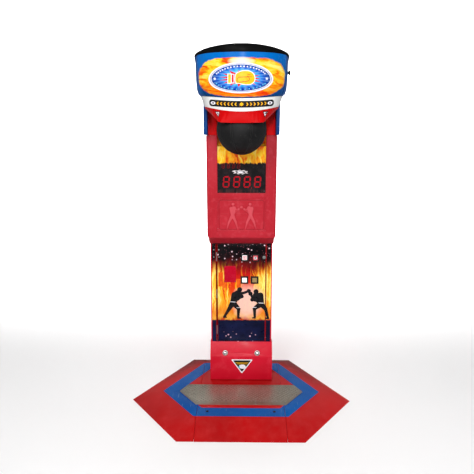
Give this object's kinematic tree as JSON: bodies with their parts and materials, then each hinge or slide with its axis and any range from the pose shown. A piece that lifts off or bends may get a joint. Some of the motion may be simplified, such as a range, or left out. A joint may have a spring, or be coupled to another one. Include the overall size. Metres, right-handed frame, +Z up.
{
  "type": "boxing punch machine",
  "caption": "Upright punch-strength game: hexagonal step platform, column with coin door, score display, curved lit head and a hanging punch ball that swings up.",
  "frame": {"origin": "centre of the platform's outline at floor level", "axes": "+Z up, -Y towards the player, +X to the player's right"},
  "size_m": [1.396, 1.001, 2.117],
  "materials": {
    "red_steel": "semi-gloss red powder coat",
    "dark_red_steel": "semi-gloss dark red powder coat",
    "red_moulding": "moulded red plastic",
    "blue_paint": "gloss blue",
    "blue_band": "non-slip blue strip",
    "tread": "embossed checker plate",
    "steel": "zinc plated",
    "chrome": "polished",
    "black_plastic": "matt black",
    "black_gloss": "gloss black",
    "print": "printed artwork behind clear film",
    "white_print": "white plastic with print",
    "button_white": "translucent white lens",
    "button_amber": "translucent amber lens",
    "button_red": "translucent red lens",
    "crimson": "crimson enamel",
    "circuit": "circuit board",
    "leds": "red seven-segment modules",
    "smoked": "smoked acrylic with print",
    "lamp": "opal tube",
    "ball": "black leather over foam and air core",
    "foam": "closed-cell foam pad",
    "coil": "wound coil"
  },
  "bodies": {
    "cabinet": {"base_centre": "red_steel", "base_wing_left": "red_steel", "base_wing_right": "red_steel", "floor_band": "blue_band", "tread_plate": "tread", "tread_screws": "steel", "wing_bolts": "steel", "base_bearers": "steel", "column_sides": "red_steel", "column_back": "red_steel", "kick_cover": "red_steel", "kick_studs": "chrome", "front_frame": "red_steel", "hinge_frame_knuckles": "steel", "cash_box": "steel", "power_supply": "steel", "control_board": "circuit", "rear_hinges": "steel", "mains_inlet": "black_plastic", "upper_sides": "red_steel", "upper_back": "red_steel", "front_moulding": "red_moulding", "relief_plate": "red_moulding", "display_window": "smoked", "display_board": "circuit", "score_digits": "leds", "scoop_panel": "print", "head_side_left": "blue_paint", "head_side_right": "blue_paint", "cheeks": "dark_red_steel", "head_back": "red_steel", "crown": "black_plastic", "marquee_shell": "blue_paint", "marquee_panel": "print", "white_band": "white_print", "lip": "red_moulding", "head_lamp": "lamp", "speaker": "black_plastic", "ceiling_pad": "foam", "bearing_plates": "steel", "bearings": "steel", "solenoid": "coil"},
    "door": {"front_door": "print", "hinge_door_knuckles": "steel", "button_bezels": "black_plastic", "coin_mechs": "black_plastic", "blanking_plate": "crimson"},
    "door_lock": {"front_lock": "chrome"},
    "white_button": {"start_button_white": "button_white"},
    "amber_button": {"start_button_amber": "button_amber"},
    "coin_left": {"coin_button_left": "button_red"},
    "coin_right": {"coin_button_right": "button_red"},
    "service_door": {"rear_door": "red_steel"},
    "service_lock": {"rear_lock": "chrome"},
    "ball": {"pivot_shaft": "steel", "swing_arm": "steel", "punch_ball": "ball"},
    "latch": {"latch_hook": "steel"},
    "plunger": {"solenoid_plunger": "steel"},
    "head_key": {"head_lock": "black_plastic"}
  },
  "joints": [
    {"name": "ball_swing", "type": "hinge", "parent": "cabinet", "child": "ball", "pos_m": [0, -0.16, 1.9], "axis": [1, 0, 0], "range_deg": [0, 82]},
    {"name": "latch_pivot", "type": "hinge", "parent": "cabinet", "child": "latch", "pos_m": [0.056, -0.236, 1.95], "axis": [1, 0, 0], "range_deg": [0, 12], "stiffness_Nm_per_rad": 0.5, "springref_deg": -11.46},
    {"name": "plunger_slide", "type": "slide", "parent": "cabinet", "child": "plunger", "axis": [0, -1, 0], "range_m": [0, 0.0085]},
    {"name": "front_door_swing", "type": "hinge", "parent": "cabinet", "child": "door", "pos_m": [-0.16, 0.1315, 0.65], "axis": [0, 0, -1], "range_deg": [0, 105]},
    {"name": "front_lock_turn", "type": "hinge", "parent": "door", "child": "door_lock", "pos_m": [0.146, 0.13, 0.899], "axis": [0, 1, 0], "range_deg": [0, 90]},
    {"name": "white_button_press", "type": "slide", "parent": "door", "child": "white_button", "axis": [0, 1, 0], "range_m": [0, 0.004], "stiffness_N_per_m": 400, "springref_m": -0.001},
    {"name": "amber_button_press", "type": "slide", "parent": "door", "child": "amber_button", "axis": [0, 1, 0], "range_m": [0, 0.004], "stiffness_N_per_m": 400, "springref_m": -0.001},
    {"name": "coin_left_press", "type": "slide", "parent": "door", "child": "coin_left", "axis": [0, 1, 0], "range_m": [0, 0.003], "stiffness_N_per_m": 400, "springref_m": -0.001},
    {"name": "coin_right_press", "type": "slide", "parent": "door", "child": "coin_right", "axis": [0, 1, 0], "range_m": [0, 0.003], "stiffness_N_per_m": 400, "springref_m": -0.001},
    {"name": "rear_door_swing", "type": "hinge", "parent": "cabinet", "child": "service_door", "pos_m": [-0.17, 0.3345, 0.55], "axis": [0, 0, 1], "range_deg": [0, 110]},
    {"name": "rear_lock_turn", "type": "hinge", "parent": "service_door", "child": "service_lock", "pos_m": [0.132, 0.33, 0.55], "axis": [0, 1, 0], "range_deg": [0, 90]},
    {"name": "head_lock_turn", "type": "hinge", "parent": "cabinet", "child": "head_key", "pos_m": [0.25, -0.074, 2.005], "axis": [1, 0, 0], "range_deg": [0, 90]}
  ],
  "couplings": [
    {"joint": "plunger_slide", "follows": "latch_pivot", "m_per_rad": 0.04}
  ]
}
